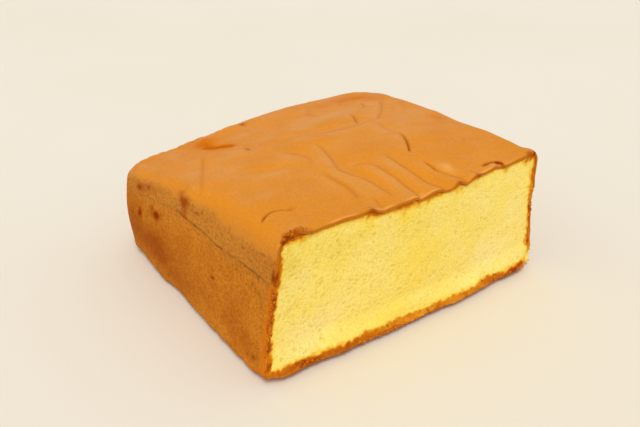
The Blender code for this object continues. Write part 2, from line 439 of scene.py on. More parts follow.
def paint(piece, name, values):
    """Keep one number from 0 to 1 on each point, for the materials to read."""
    layer = piece.data.attributes.new(name, "FLOAT", "POINT")
    layer.data.foreach_set("value", np.clip(values, 0.0, 1.0).astype(np.float32))


def report(piece):
    faces = piece.data.polygons
    triangles = sum(len(face.vertices) - 2 for face in faces)
    print(f"{piece.name}: {len(piece.data.vertices)} points, {triangles} triangles")


# %% Cut a block into a net
def subdivide_along(axis, parts):
    """In edit mode, cut every edge that runs along the axis into equal parts."""
    while parts > 1:
        cuts = next(number for number in range(min(parts, 50), 0, -1) if parts % number == 0)
        mesh = bmesh.from_edit_mesh(bpy.context.object.data)
        bpy.ops.mesh.select_all(action="DESELECT")
        for mesh_edge in mesh.edges:
            run = mesh_edge.verts[1].co - mesh_edge.verts[0].co
            if abs(run[axis]) > 0.5 * run.length:
                mesh_edge.select_set(True)
        bmesh.update_edit_mesh(bpy.context.object.data)
        bpy.ops.mesh.subdivide(number_cuts=cuts - 1)
        parts //= cuts


def add_block(name, low, high, parts):
    """A cube from low to high, cut into parts along each axis, left in edit mode."""
    start_clean()
    low, high = np.array(low), np.array(high)
    bpy.ops.mesh.primitive_cube_add(size=1.0, location=(low + high) / 2, scale=high - low)
    piece = bpy.context.object
    piece.name = piece.data.name = name
    bpy.ops.object.transform_apply(location=True, rotation=True, scale=True)
    bpy.context.tool_settings.mesh_select_mode = (False, True, False)
    bpy.ops.object.mode_set(mode="EDIT")
    for axis in range(3):
        subdivide_along(axis, parts[axis])
    return piece


def delete_sides(piece, normals):
    """In edit mode, delete the block's sides that face along the given directions."""
    bpy.context.tool_settings.mesh_select_mode = (False, False, True)
    mesh = bmesh.from_edit_mesh(piece.data)
    mesh.normal_update()
    for face in mesh.faces:
        face.select_set(any(face.normal.dot(normal) > 0.9 for normal in normals))
    bmesh.update_edit_mesh(piece.data)
    bpy.ops.mesh.delete(type="FACE")
    bpy.ops.object.mode_set(mode="OBJECT")


def thicken(piece, thickness):
    """Give an open block a wall inwards; returns 1 for the new inner points and 0 for the rest."""
    group = piece.vertex_groups.new(name="inside")
    wall = piece.modifiers.new("wall", "SOLIDIFY")
    wall.thickness = thickness
    wall.offset = -1.0
    wall.use_even_offset = True
    wall.shell_vertex_group = group.name
    pick(piece)
    bpy.ops.object.modifier_apply(modifier=wall.name)
    return np.array([float(any(link.group == group.index for link in vertex.groups))
                     for vertex in piece.data.vertices])


def thin_out_inside(piece, ratio):
    """Merge the inner side's small faces, where nobody sees them."""
    pick(piece)
    bpy.context.tool_settings.mesh_select_mode = (True, False, False)
    bpy.ops.object.mode_set(mode="EDIT")
    bpy.ops.mesh.select_all(action="DESELECT")
    piece.vertex_groups.active = piece.vertex_groups["inside"]
    bpy.ops.object.vertex_group_select()
    bpy.ops.mesh.decimate(ratio=ratio)
    bpy.ops.object.mode_set(mode="OBJECT")
    piece.vertex_groups.clear()


def face_outwards():
    """In edit mode, turn every face of a closed piece outwards, and leave edit mode."""
    bpy.ops.mesh.select_all(action="SELECT")
    bpy.ops.mesh.normals_make_consistent(inside=False)
    bpy.ops.object.mode_set(mode="OBJECT")


def push_out(shaped, block, amount, margin):
    """Move the points within a margin of the side and back walls straight out of them."""
    x, y = block[:, 0], block[:, 1]
    shaped[:, 0] += np.where(np.abs(x) > HALF_X - margin, np.sign(x), 0.0) * amount
    shaped[:, 1] += np.where(y > HALF_Y - margin, 1.0, 0.0) * amount


def finish_piece(piece, smooth_angle=60.0):
    pick(piece)
    bpy.ops.object.shade_smooth_by_angle(angle=math.radians(smooth_angle))
    report(piece)


# %% [markdown]
# ## Where the crust shows at the cut
# At the cut, the browned border shows from the side: a few millimetres at the walls and the
# bottom, and less on top, fading through amber into yellow crumb. The width changes all the way
# round and its edge is ragged, so each side has its own width and its own bumps. The result is
# one number for each point: 0 is crumb and 1 is the darkest crust.

# %% Darker and paler places on the cut
# from the left, from the foot, reach along each, how much darker
CUT_TOAST = (
    (5, 78, 3.5, 2.0, 0.40), (14, 75.5, 7, 3.5, 0.26), (1.2, 61, 1.5, 3.8, 0.6), (1, 72, 1, 2, 0.4),
    (1.6, 47, 1.5, 3.0, 0.6), (1.6, 36, 1.3, 3, 0.5), (2.0, 20, 1.4, 4, 0.4), (1.6, 10, 1.2, 3, 0.35),
    (60, 74, 4, 4, 0.15), (86, 73, 6, 4, 0.14), (98, 74, 8, 2, 0.15), (129, 74.5, 4, 2, 0.2),
    (143, 72.5, 5, 1.6, 0.20), (171, 75, 2.5, 3, 0.15), (192, 76, 4.5, 3.0, 0.50),
    (189.5, 76, 0.9, 1.3, 0.5), (193.5, 74.5, 0.8, 1.0, 0.4), (196, 66, 2.5, 8, 0.22),
    (197.5, 44, 1.6, 2.5, 0.7), (197.5, 35.5, 1.5, 3, 0.65), (196.5, 19, 2.0, 2.2, 0.75),
    (30, 5.4, 24, 3.0, 0.30), (55, 5, 14, 2, 0.10), (172, 5.4, 13, 3.0, 0.28), (102, 5, 20, 3, -0.12),
    (181, 4, 3, 1.8, 0.32), (188, 6, 5, 1.8, 0.30), (13, 41, 1, 0.8, 0.22), (17, 39.5, 1, 0.8, 0.28),
    (23, 7.5, 0.9, 0.8, 0.5), (69, 53, 2.5, 0.8, 0.10), (152, 50, 1.2, 2.5, 0.08),
)
CHIP = ((198, 7, 6.0, 5.5, 1.0),)    # where the crust has broken off at the right foot
# where the border under the top is wider: from the left, 0, reach along it, 1, by how many mm
WIDE_TOP = ((98, 0, 34, 1, 1.5), (171, 0, 4, 1, 0.9), (10, 0, 10, 1, 1.0))
RICH_CRUMB = (
    (100, 32, 34, 22, 0.45), (78, 12, 24, 3, 0.28), (104, 8, 28, 2, 0.4), (100, 45, 16, 10, 0.25),
    (60, 73, 5, 4, 0.5), (86, 71, 6, 5, 0.4), (30, 74, 16, 4, 0.3), (95, 70, 30, 3, 0.3),
    # the last, a faint band along the foot: a richer tone, and painted shade on the lip's slope that faces
    # the light
    (100, 11, 95, 4.5, 0.12),
)
PALE_CRUMB = (
    (160, 22, 26, 15, 0.9), (24, 20, 18, 12, 0.6), (185, 45, 10, 20, 0.6), (150, 60, 14, 8, 0.4),
    (40, 28, 14, 8, 0.4), (170, 68, 16, 5, 0.4),
)
OLIVE_CRUMB = ((9, 63, 7, 8, 0.5), (40, 66, 26, 6, 0.22), (100, 62, 30, 6, 0.12), (118, 8, 12, 2, 0.2))


# %% How toasted the cut is
CUT_LINE = np.linspace(-HALF_X, HALF_X, 401)
LINE_RISE = relief(CUT_LINE, np.full(len(CUT_LINE), -HALF_Y))


def border(distance, width, fade, peak):
    """The peak within the crust's width of the edge, then a short dark fade in a long pale one."""
    dark = step(distance, width + 0.5 * fade, width - 0.1 * fade)
    pale = step(distance, width + 1.5 * fade, width - 0.2 * fade)
    return peak * (0.60 * dark + 0.40 * pale)


def toast_at_cut(x, z):
    """How toasted the cut is, with painted shade under the skin's lip in the border at the top, and how
    much of its crust has chipped off, each from 0 to 1.
    """
    from_left = x + HALF_X
    ragged = 0.9 * flat_bumps(x, z, 1.5, 9.0) + 0.8 * flat_bumps(x, z, 3.6, 11.0)
    soft = flat_bumps(x, z, 17.0, 13.0)
    chip = np.clip(spots_at(from_left, z, CHIP), 0.0, 1.0)
    under_top = 1.8 + 0.6 * ragged + 0.4 * soft + spots_at(from_left, np.zeros_like(z), WIDE_TOP)
    under_top += np.interp(x, CUT_LINE, LINE_RISE)
    toast = np.max([
        border(from_left, 3.0 + 1.1 * ragged + 0.6 * soft, 2.2, 0.64),
        border(HALF_X - x, 2.9 + 0.9 * ragged + 0.5 * soft, 2.4, 0.64),
        border(z, 7.2 + 0.9 * ragged + 1.0 * soft, 2.4, 0.63),
        # the border under the top is partly crust and partly painted shade under the skin's lip
        border(HEIGHT - z, np.maximum(under_top, 1.0), 3.3, 0.66),
    ], axis=0)
    toast *= 1.0 + 0.16 * flat_bumps(x, z, 2.4, 15.0) + 0.14 * flat_bumps(x, z, 7.0, 16.0)
    toast *= 1.0 - 0.92 * chip
    outer_edge = np.min([from_left, HALF_X - x, z], axis=0)
    toast -= 0.22 * step(outer_edge, 0.9 + 0.5 * ragged, 0.5 * ragged) * (toast > 0.4)
    marks = spots_at(from_left + 0.5 * ragged, z + 0.4 * ragged, CUT_TOAST)
    return np.clip(toast + marks * (0.75 + 0.35 * ragged), 0.0, 1.0), chip


# %% The dragged foot of the cut
FOOT_LIP, FOOT_HOLLOW = 4.7, 1.6


def foot_bulge(x, z):
    """How far the dragged foot of the cut stands out: a lip with a hollow under it."""
    lip = FOOT_LIP * step(z, 0.0, 2.6) * step(z, 20.0, 3.5) - FOOT_HOLLOW * step(z, 1.6, 0.0)
    return lip * (1.0 - 0.5 * step(np.abs(x), HALF_X - 9.0, HALF_X))


# %% [markdown]
# ## The crumb
# The crumb is the sponge itself. It shows at the cut, where the knife has opened thousands of
# fine bubbles. Bubbles in a material only would look painted on, so they are real hollows: the
# front starts as a fine upright grid, each bubble is pressed into a height map, and the grid's
# points sink by it. The rim of the grid is then extruded back through the cake and closed.

# %% Press bubbles into a height map
CUT_STEP = 0.46     # between the grid's points
CUT_INSET = 0.35    # from the block's edges to the grid's
CUT_WIDTH, CUT_HEIGHT = WIDTH - 2 * CUT_INSET, HEIGHT - 2 * CUT_INSET
SMALLEST_BUBBLE, BUBBLE_SPREAD, LARGEST_BUBBLE = 0.30, 0.16, 1.25    # radii
cut_columns, cut_rows = round(CUT_WIDTH / CUT_STEP), round(CUT_HEIGHT / CUT_STEP)


def bubble_map(count, seed):
    """Depth of the opened bubbles, in mm, on the cut's grid; they get shallower to the right."""
    rng = np.random.default_rng(seed)
    depth = np.zeros((cut_rows + 1, cut_columns + 1))
    for _ in range(count):
        radius = min(SMALLEST_BUBBLE + rng.exponential(BUBBLE_SPREAD), LARGEST_BUBBLE)
        stretch, angle = rng.uniform(1.0, 1.7), rng.normal(-0.45, 0.6)
        column, row = rng.uniform(0, cut_columns), rng.uniform(0, cut_rows)
        if rng.uniform() < 0.45 * column / cut_columns:
            radius *= 0.7
        reach = int(radius * stretch / CUT_STEP) + 2
        rows = np.arange(max(0, int(row) - reach), min(cut_rows + 1, int(row) + reach + 1))
        columns = np.arange(max(0, int(column) - reach),
                            min(cut_columns + 1, int(column) + reach + 1))
        across, up = np.meshgrid((columns - column) * CUT_STEP, (rows - row) * CUT_STEP)
        long = (across * math.cos(angle) + up * math.sin(angle)) / stretch
        short = up * math.cos(angle) - across * math.sin(angle)
        hollow = past(1.0 - (long ** 2 + short ** 2) / radius ** 2, 0.0)
        patch = np.ix_(rows, columns)
        depth[patch] = np.maximum(depth[patch], (0.07 + 0.32 * radius) * hollow ** 0.7)
    return depth * np.linspace(1.0, 0.7, cut_columns + 1)


bubbles = bubble_map(count=6500, seed=21)
print("share of the cut that is open bubbles:", round(float((bubbles > 0.1).mean()), 3))

# %% Build the crumb
STEPS_BACK = (1.0, 2.5, 4.5, 20.0, 40.0, 50.0, 40.0, 20.0)    # they end 6 mm before the back wall
start_clean()
bpy.ops.mesh.primitive_grid_add(
    x_subdivisions=cut_columns, y_subdivisions=cut_rows, size=1.0,
    location=(0.0, -HALF_Y, HEIGHT / 2), rotation=(math.pi / 2, 0.0, 0.0))
crumb = bpy.context.object
crumb.name = crumb.data.name = "crumb"
crumb.scale = (CUT_WIDTH, CUT_HEIGHT, 1.0)
bpy.ops.object.transform_apply(location=True, rotation=True, scale=True)
bpy.context.tool_settings.mesh_select_mode = (False, True, False)
bpy.ops.object.mode_set(mode="EDIT")
bpy.ops.mesh.select_all(action="SELECT")
bpy.ops.mesh.region_to_loop()
for length in STEPS_BACK:
    bpy.ops.mesh.extrude_edges_move(TRANSFORM_OT_translate={"value": (0.0, length, 0.0)})
bpy.ops.mesh.edge_face_add()
face_outwards()
print("the crumb before it is shaped:", len(crumb.data.vertices), "points")


# %% Sink the bubbles and the traces of the knife into the cut
def nearest_line(share, last):
    """Number of the grid line at a share of its length."""
    return np.clip(np.round(share * last), 0, last).astype(int)


block = points_of(crumb)
at_cut = block[:, 1] < -HALF_Y + 0.01
x, z = block[:, 0], block[:, 2]
column = nearest_line((x + HALF_X - CUT_INSET) / CUT_WIDTH, cut_columns)
row = nearest_line((z - CUT_INSET) / CUT_HEIGHT, cut_rows)
pore = np.where(at_cut, bubbles[row, column], 0.0)
toast, chip = toast_at_cut(x, z)
rim_distance = np.min([x + HALF_X, HALF_X - x, z, HEIGHT - z], axis=0)
knife = 0.30 * flat_bumps(x, z, 18.0, 1.0) + 0.14 * flat_bumps(x, z, 5.0, 2.0)
grain = 0.07 * flat_bumps(x, z, 1.5, 4.0) + 0.05 * flat_bumps(x, z, 0.9, 6.0)
ragged = 0.60 * flat_bumps(x, z, 1.4, 8.0) + 0.50 * flat_bumps(x, z, 3.2, 7.0)
ragged *= step(rim_distance, 4.0, 0.0)
under_skin = 0.8 * step(z, HEIGHT - 3.0, HEIGHT - 1.5)
foot = foot_bulge(x, z) * (1.0 + 0.35 * flat_bumps(x, z, 9.0, 18.0)) * (1.0 - chip)
sunk = pore * (1.0 - 0.3 * toast) + under_skin - knife - grain - ragged - foot + 0.8 * chip
print("the cut's points lie from", round(float(sunk[at_cut].min()), 2), "to",
      round(float(sunk[at_cut].max()), 2), "mm behind the knife's plane")

# %% Nest the crumb in the crust
inset = np.where(at_cut, 0.0, np.minimum(3.0, 0.3 + 0.25 * (block[:, 1] + HALF_Y)))
nested = block.copy()
nested[:, 0] = x * (1.0 - inset / HALF_X)
nested[:, 2] = HEIGHT / 2 + (z - HEIGHT / 2) * (1.0 - inset / (HEIGHT / 2))
shaped = cake_form(nested)
raise_top(shaped, nested)
shaped[:, 1] += np.where(at_cut, sunk, 0.0)
move_points(crumb, lay_on_frame(shaped))

# %% Paint and finish the crumb
DEEP_PORE = 0.52    # the depth, in mm, from which a bubble is fully shaded
CHIPPED_TOAST, HIDDEN_TOAST = 0.16, 0.6
# toast also holds the painted shade under the skin's lip
paint(crumb, "toast", np.where(at_cut, toast, np.where(chip > 0.3, CHIPPED_TOAST, HIDDEN_TOAST)))
# painted shade in the opened bubbles, darker the deeper they are, and olive patches of the crumb
paint(crumb, "pore", pore / DEEP_PORE + spots_at(x + HALF_X, z, OLIVE_CRUMB))
paint(crumb, "rich", spots_at(x + HALF_X, z, RICH_CRUMB) + 0.3 * flat_bumps(x, z, 14.0, 71.0))
paint(crumb, "pale", spots_at(x + HALF_X, z, PALE_CRUMB) + 0.3 * flat_bumps(x, z, 11.0, 73.0))
finish_piece(crumb, smooth_angle=80.0)

# %% [markdown]
# ## Marks on the walls
# The walls browned unevenly against the tin. There are redder blotches where sugar gathered, a
# darker zone low on the left that is partly browning and partly painted shade, and the fine line of
# the skin's torn edge. They are lists of spots for the left wall, which is the one that is seen
# best, and soft random patches for the others.

# %% Browning, scorched spots and cracks of a wall
# distance from the cut, from the foot, reach along each, strength
LEFT_SCORCH = (
    (119, 54, 4.4, 3.2, 1.5), (125, 58, 2.5, 1.8, 0.6), (139, 50, 2.6, 4.2, 1.2),
    (141, 42, 3.0, 3.0, 0.35), (95.5, 77, 3.4, 2.2, 0.40), (91, 71.5, 3.2, 2.6, 0.32),
    (142, 69, 3.4, 2.2, 0.70),
    (132, 72, 1.8, 1.5, 0.40), (12, 67.5, 2.4, 0.9, 0.40),
    (1, 60, 1.2, 3.0, 0.9), (1, 47, 1.2, 2.5, 0.7), (1, 36, 1.0, 3.0, 0.6), (151, 46, 2.0, 2.0, 0.3),
    (30, 64.5, 1.3, 0.9, 0.40), (44, 69, 1.0, 1.8, 0.35), (77, 68, 1.6, 0.9, 0.45),
    (49, 56, 2.4, 0.8, 0.40), (55, 36, 1.4, 1.1, 1.1), (57, 22, 1.6, 1.2, 0.45), (43, 16, 1.6, 1.2, 0.4),
    (28, 28, 1.2, 1.0, 0.5), (34, 23, 1.0, 1.3, 0.4), (10, 10.5, 2.0, 1.5, 0.9), (16, 9, 1.2, 0.9, 0.8),
    (8, 20, 1.6, 1.2, 0.4), (20, 17, 5.0, 4.0, 0.22), (6, 14, 2.0, 3.0, 0.3), (82, 18, 3.0, 1.6, 0.25),
)
# the large zones low towards the back of the left wall are partly browning and partly painted shade
LEFT_BROWN = ((96, 78, 4.6, 2.6, 1.4), (92.5, 75, 5.0, 3.0, 1.4), (90, 70, 4.6, 3.6, 1.2),
              (88, 64, 3.0, 2.6, 0.8), (5, 72, 3.2, 3.4, 1.4), (122, 28, 17, 14, 1.0),
              (75, 32, 42, 22, 0.25), (150, 36, 16, 24, 0.7), (14, 15, 13, 8, 0.35),
              (38, 22, 22, 9, 0.25), (95, 14, 20, 8, 0.35), (132, 72, 14, 6, 0.4), (80, 68, 14, 4, 0.25))
# distance from the cut, from the foot, heading, stretches of (length, turn), strength
LEFT_CRACKS = (
    (45, 55.8, 3, ((14, 8), (22, -4), (8, 14), (14, -14)), 1.3), (4, 54, 8, ((10, 4),), 1.0),
    (11, 53.5, 10, ((16, -6), (18, 0)), 1.05), (10, 44.5, 20, ((11, 6),), 0.75),
    (72, 67.5, 4, ((12, 4),), 0.35), (102, 65, 0, ((18, 4),), 0.35),
    (26, 61, 196, ((9, 26), (8, 16)), 0.45),
)
CRACK_WIDTH = 0.7


# %% Where the marks lie on a piece
def wall_marks(block):
    """Strength of the scorched spots, the brown zones, one of them partly painted shade, and the cracks at
    points of the walls.
    """
    x, y, z = block.T
    left = step(x + HALF_X, 12.0, 4.0)
    from_cut = y + HALF_Y
    shaken_y = from_cut + 1.2 * bumps(block, 3.0, 81.0)
    shaken_z = z + 1.0 * bumps(block, 3.0, 83.0)
    elsewhere = step(bumps(block, 16.0, 85.0), 0.42, 0.62) * step(bumps(block, 5.0, 87.0), -0.3, 0.7)
    elsewhere *= step(z, 62.0, 50.0)
    scorch = left * spots_at(shaken_y, shaken_z, LEFT_SCORCH) + 0.6 * (1.0 - left) * elsewhere
    at_edge = step(from_cut, 2.6, 0.8) * step(np.abs(x), HALF_X - 8.0, HALF_X - 2.0)
    scorch += 0.95 * at_edge * step(bumps(block * (1.0, 1.0, 0.6), 2.4, 97.0), 0.05, 0.40)
    brown = left * spots_at(shaken_y, shaken_z, LEFT_BROWN) * (1.0 + 0.4 * bumps(block, 2.2, 99.0))
    brown += 0.5 * left * step(z - 2.0 * bumps(block, 6.0, 98.0), 5.5, 1.5)
    brown += (1.0 - left) * ease(0.5 + 0.9 * bumps(block, 34.0, 89.0)) * step(z, 70.0, 40.0)
    crack = np.zeros(len(block))
    near = left > 0.5
    uneven_z = z[near] + 0.5 * bumps(block[near], 4.0)
    uneven = 0.55 + 0.45 * bumps(block[near], 3.0, 89.0)
    for *path, strength in LEFT_CRACKS:
        distance, along = beside_path(from_cut[near], uneven_z, *path_points(*path))
        ends = step(along, 0.0, 0.1) * step(along, 1.0, 0.9)
        line = strength * uneven * ends * np.exp(-(distance / CRACK_WIDTH) ** 2)
        crack[near] = np.maximum(crack[near], line)
    return scorch, brown, crack


# %% [markdown]
# ## The crust
# The crust is the browned wall that touched the tin: left, right, back and underneath. It is a
# cube without its top and its front, thickened inwards. Its outer side gets pits and a soft
# waviness, and under the skin's hanging edge it draws back a little, so that the skin lies over it.

# %% The lower edge of the skin
SKIN_EDGE = 55.2    # its height on the block at the cut; towards the back it rises
EDGE_RISE = 9.0


def skin_edge(x, y):
    """Height on the block where the skin ends on a wall, followed round the cake."""
    wave = 1.7 * flat_bumps(x, y, 30.0, 17.0) + 0.9 * flat_bumps(x, y, 9.0, 19.0)
    wave *= 1.0 - 0.75 * step(x + HALF_X, 20.0, 10.0)
    from_cut = y + HALF_Y
    rise = EDGE_RISE * step(from_cut, 36.0, 104.0) + step(from_cut, 12.0, 0.0)
    return SKIN_EDGE + wave + rise


def skin_lip(x, y):
    """How far the skin's lower edge stands off the wall: it shows only here and there."""
    from_cut = y + HALF_Y
    left = 0.06 + 0.26 * step(from_cut, 44.0, 54.0) * step(from_cut, 98.0, 86.0)
    left *= 0.8 + 0.6 * flat_bumps(x, y, 7.0, 25.0)
    other = 0.25 + 0.4 * flat_bumps(x, y, 22.0, 23.0)
    return np.where(x < -HALF_X + 25.0, left, np.clip(other, 0.05, 0.5))


def wall_waves(block):
    """The soft waviness of the walls, which the skin follows where it hangs over them."""
    return 0.45 * bumps(block, 24.0, 41.0) + 0.18 * bumps(block, 7.0, 43.0)


# %% Build the crust
CRUST_TOP, CRUST_THICKNESS = 76.0, 2.6
crust = add_block("crust", (-HALF_X, -HALF_Y, 0.0), (HALF_X, HALF_Y, CRUST_TOP),
                  parts=(190, 176, 76))
delete_sides(crust, [(0, 0, 1), (0, -1, 0)])
inside = thicken(crust, CRUST_THICKNESS)
outside = 1.0 - inside
block = points_of(crust)
x, y, z = block.T
from_cut = y + HALF_Y

# %% Give the walls their pits and waves
scorch, brown, crack = wall_marks(block)
shaped = cake_form(block)
under = step(z - skin_edge(x, y), 0.0, 1.5)
streaks = bumps(block * (1.0, 1.0, 0.8), 1.7, 31.0)
pits = past(bumps(block, 2.0, 37.0), 0.25) + past(streaks, 0.35)
outwards = wall_waves(block) - 0.35 * pits - 0.25 * crack * (1.0 - under) - 0.75 * under
outwards *= outside * step(z, 0.0, 3.0)
foot_wave = 0.8 + 0.8 * bumps(block * (1.0, 1.0, 0.4), 11.0, 45.0)
foot_wave += 0.5 * bumps(block * (1.0, 1.0, 0.6), 4.5, 46.0)
foot_wave *= outside * step(z, 18.0, 4.0)
push_out(shaped, block, outwards + foot_wave, margin=0.1)
raise_top(shaped, block)

# %% Tear its border at the cut
_, chip = toast_at_cut(x, z)
torn_back = 0.3 + 0.6 * bumps(block, 1.8, 47.0) + 0.4 * bumps(block, 4.5, 49.0)
torn_back *= from_cut < 0.1
near_cut = step(from_cut, 6.0, 0.0)
shaped[:, 1] += torn_back + 4.5 * chip * (x > 0) * near_cut
shaped[:, 1] -= foot_bulge(x, z) * near_cut * (1.0 - chip)
move_points(crust, lay_on_frame(shaped))

# %% Paint and finish the crust
fringe = step(from_cut - 2.0 * bumps(block, 2.0, 91.0), 5.0, 2.0)
at_foot = step(z - 3.0 * bumps(block, 9.0, 93.0), 6.0, 1.0)
at_foot *= 0.25 + 0.35 * step(from_cut, 40.0, 10.0)
# brown holds painted shade too, low towards the back of the left wall
paint(crust, "brown", brown + 0.25 * bumps(block, 21.0, 95.0))
paint(crust, "scorch", scorch)
paint(crust, "crack", crack)
paint(crust, "fringe", np.maximum(fringe, at_foot))
paint(crust, "band", step(z - skin_edge(x, y), -7.0, -1.0))
paint(crust, "pit", outside * pits * 0.7)
thin_out_inside(crust, ratio=0.12)
finish_piece(crust)

# %% [markdown]
# ## The skin
# The skin is one thin brown sheet over the top that hangs down over the shoulders. It starts as
# the upper part of the block without its bottom and its front. The folds lift and sink it, its
# edge at the cut is uneven and stands a little proud, and its lower edge runs out on the walls.

# %% Colours painted on the top
# from the left, from the cut, reach along each, strength
# orange tone, and painted shade beside creases on the side away from the sheen
ORANGE_AND_SHADE_TOP = (
    (70, 42, 3.0, 17, 0.8), (88, 30, 4.0, 15, 0.8), (5, 72, 6, 20, 0.6), (88, 86, 10, 7, 0.8),
    (84, 114, 6, 5, 0.8), (112, 107, 14, 5, 1.0), (190, 85, 5, 6, 0.8), (146, 88, 5, 6, 0.6),
    (116, 22, 4, 12, 0.7), (74, 164, 22, 12, 1.0), (88, 142, 6, 9, 0.8), (112, 158, 10, 10, 0.7),
    (140, 160, 6, 8, 0.7), (50, 76, 11, 5, 0.6), (74, 72, 3.0, 12, 0.6), (24, 128, 10, 14, 0.3),
    (150, 150, 12, 8, 0.5), (165, 165, 22, 8, 0.9), (50, 155, 8, 16, 0.8),
    (105, 56, 12, 8, 0.3), (131, 32, 3, 10, 0.4), (104, 20, 3.5, 16, 0.5),
    (82, 35, 3, 6, 0.3), (30, 165, 10, 8, 0.5), (60, 50, 8, 10, 0.2), (165, 118, 5, 12, 0.3),
)
# painted sheen: paler tan where the satin skin would mirror the light, on crests and patches
SHEEN_TAN_TOP = (
    (108, 130, 18, 10, 0.9), (130, 130, 16, 8, 0.7), (172, 98, 20, 22, 0.6), (60, 40, 3.5, 18, 0.6),
    (94, 26, 2.6, 12, 0.8), (100, 77, 16, 8, 0.5), (150, 66, 8, 10, 0.4), (30, 98, 8, 14, 0.6),
    (46, 116, 9, 8, 0.6), (152, 136, 14, 7, 0.5), (78, 60, 2.4, 9, 0.8), (107, 34, 2.2, 10, 0.7),
    (40, 66, 12, 3, 0.7), (160, 166, 18, 6, 0.3), (20, 46, 10, 4, 0.6), (70, 147, 9, 5, 0.7),
    (63, 86, 3, 8, 0.7), (128, 70, 12, 8, 0.5), (88, 50, 7, 2.2, 0.6), (125, 102, 14, 3, 0.5),
    (75, 128, 12, 6, 0.4), (48, 30, 10, 8, 0.2), (143, 74, 2.5, 9, 0.5), (12, 112, 4, 12, 0.4),
)
RUSTY_TOP = (
    (52, 140, 5.5, 5.0, 1.15), (47, 147, 3.5, 7.0, 1.1), (55, 135, 3.5, 3.5, 0.85),
    (50, 160, 6.5, 14.0, 0.75), (62, 162, 14.0, 9.0, 0.15), (165, 162, 20.0, 8.0, 0.60),
    (180, 152, 7.0, 10.0, 0.35), (122, 143, 4.0, 6.0, 0.35), (140, 159, 4.0, 6.0, 0.30),
    (186, 80, 4.5, 7.0, 0.55), (86, 170, 1.8, 2.4, 0.7), (77, 150, 1.4, 2.6, 0.55),
    (22, 78, 0.8, 1.2, 0.6), (57, 117, 2.0, 4.2, 0.40), (24, 24.6, 2.0, 1.2, 0.5),
    (17, 51, 2.4, 1.6, 0.15), (163, 3.0, 3.4, 1.4, 0.6), (3, 164, 3.0, 9.0, 0.5), (142, 44, 1.0, 1.2, 0.3),
)
# nearly black: the torn end of the skin, burnt spots at the far rim, and painted shade in the slit
# behind the lifted flap and in the hollows under its edge
BURNT_AND_SHADED_TOP = (
    (4.8, 0.2, 1.8, 3.0, 1.2), (10.5, 0.8, 4.0, 1.3, 0.85), (16, 2.6, 1.2, 1.5, 0.6),
    (157.0, 4.8, 2.8, 1.1, 1.2), (161.5, 4.4, 3.0, 1.3, 1.5), (165.2, 3.1, 2.4, 1.5, 1.4),
    (167.4, 1.2, 1.3, 1.5, 1.1),
    (20, 0.4, 1.2, 1.2, 0.45), (61.5, -0.4, 2.6, 1.2, 0.5), (128, -0.2, 2.2, 1.4, 0.45),
    (144.5, -0.2, 2.0, 1.3, 0.55), (191, 0.6, 2.4, 1.2, 0.7),
    (196, 0.4, 1.2, 1.0, 0.5),
    (83, 170, 1.4, 3.6, 0.8), (41, 181, 1.6, 2.6, 1.0), (100, 181, 1.5, 2.6, 0.8), (50, 180, 1.2, 2.0, 0.6),
)
# painted highlights: the blister and the raised bits of the edge at the cut
HIGHLIGHT_TOP = ((133, 15.5, 4.4, 6.0, 0.75), (161, 2.2, 5.0, 1.2, 0.5), (100, 1.6, 3.0, 1.6, 0.5))


# %% Where the colours lie on the top
def top_marks(x, y):
    """Colour shares of the top: painted crease shade, orange with painted shade of the low sides, painted
    sheen of the crests, rust, burnt spots with painted shade, painted highlights.
    """
    from_left, from_cut = x + HALF_X, y + HALF_Y
    shaken_x = from_left + 1.6 * flat_bumps(x, y, 5.0, 97.0)
    shaken_y = from_cut + 1.6 * flat_bumps(x, y, 5.0, 99.0)
    dark = np.zeros(x.shape)
    orange_and_shade, sheen_tan = spots_at(shaken_x, shaken_y, ORANGE_AND_SHADE_TOP), spots_at(shaken_x, shaken_y, SHEEN_TAN_TOP)
    for fold in FOLDS:
        crease, crest, low = beside_fold(from_left, from_cut, fold)
        # painted shade: the creases are darkened
        dark = np.maximum(dark, crease ** 1.3 * min(1.0, fold.depth / 2.0))
        # the low sides get orange as painted shade, away from the sheen
        orange_and_shade += 0.55 * low * abs(fold.roll)
        # the crests get a painted sheen
        sheen_tan += 0.60 * crest ** 2 * abs(fold.roll)
    rust = spots_at(from_left + 0.8 * flat_bumps(x, y, 2.6, 101.0),
                    from_cut + 0.8 * flat_bumps(x, y, 2.6, 103.0), RUSTY_TOP)
    # burnt spots, and painted shade in the slit and the hollows at the cut
    burnt_and_shade = spots_at(from_left + 0.5 * flat_bumps(x, y, 1.6, 101.0), from_cut, BURNT_AND_SHADED_TOP)
    return dark, orange_and_shade, sheen_tan, rust, burnt_and_shade, spots_at(from_left, from_cut, HIGHLIGHT_TOP)


# %% Build the skin
SKIN_DROP, SKIN_THICKNESS = 22.0, 1.3
skin = add_block("top_skin", (-HALF_X, -HALF_Y, HEIGHT - SKIN_DROP), (HALF_X, HALF_Y, HEIGHT),
                 parts=(250, 230, 24))
delete_sides(skin, [(0, 0, -1), (0, -1, 0)])
inside = thicken(skin, SKIN_THICKNESS)
block = points_of(skin)
x, y, z = block.T
from_cut = y + HALF_Y

